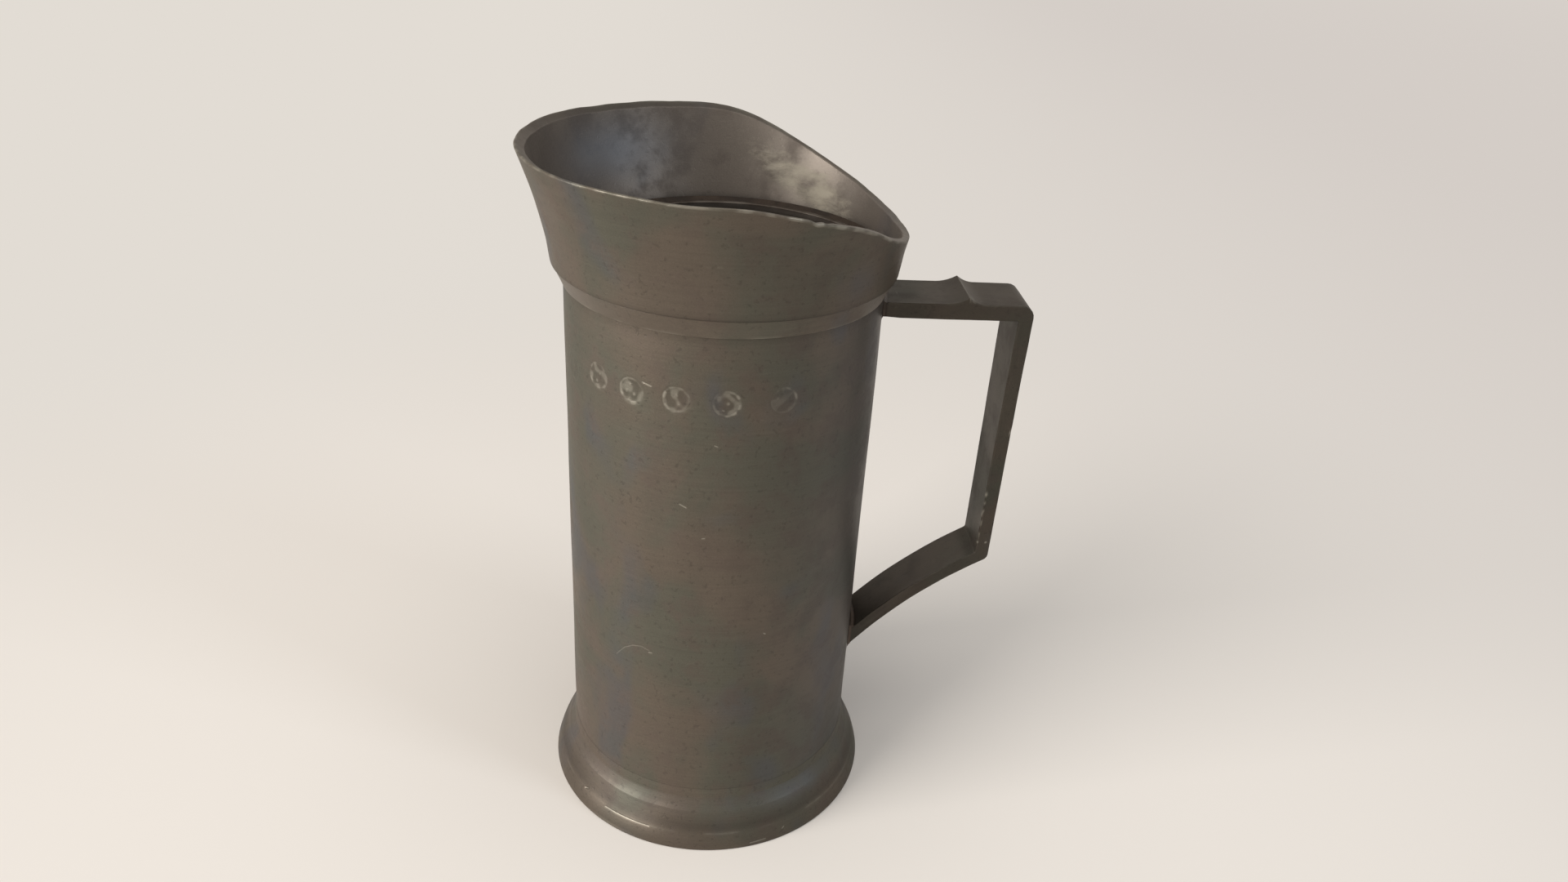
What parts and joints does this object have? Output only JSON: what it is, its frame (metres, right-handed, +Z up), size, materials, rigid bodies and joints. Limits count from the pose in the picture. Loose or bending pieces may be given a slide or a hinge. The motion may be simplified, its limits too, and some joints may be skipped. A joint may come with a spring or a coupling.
{
  "type": "pewter measure",
  "caption": "Tall cylindrical pewter measuring jug with a flared, slant-cut pouring collar, a moulded foot ring and a flat strap handle with a thumb ridge.",
  "frame": {"origin": "on the drum's axis, in the plane that the foot stands on", "axes": "+Z up along the drum's axis, +X towards the handle, -X towards the spout"},
  "size_m": [0.1465, 0.1145, 0.211],
  "materials": {
    "pewter": "worn satin pewter with a dull grey-brown patina",
    "solder": "dull soft solder"
  },
  "bodies": {
    "root": {"drum": "pewter", "base_plate": "pewter", "foot_ring": "pewter", "collar_band": "pewter", "collar": "pewter", "handle": "pewter", "foot_seam": "solder", "collar_seam": "solder", "base_fillet": "solder", "upper_handle_solder": "solder", "lower_handle_solder": "solder"}
  },
  "joints": []
}
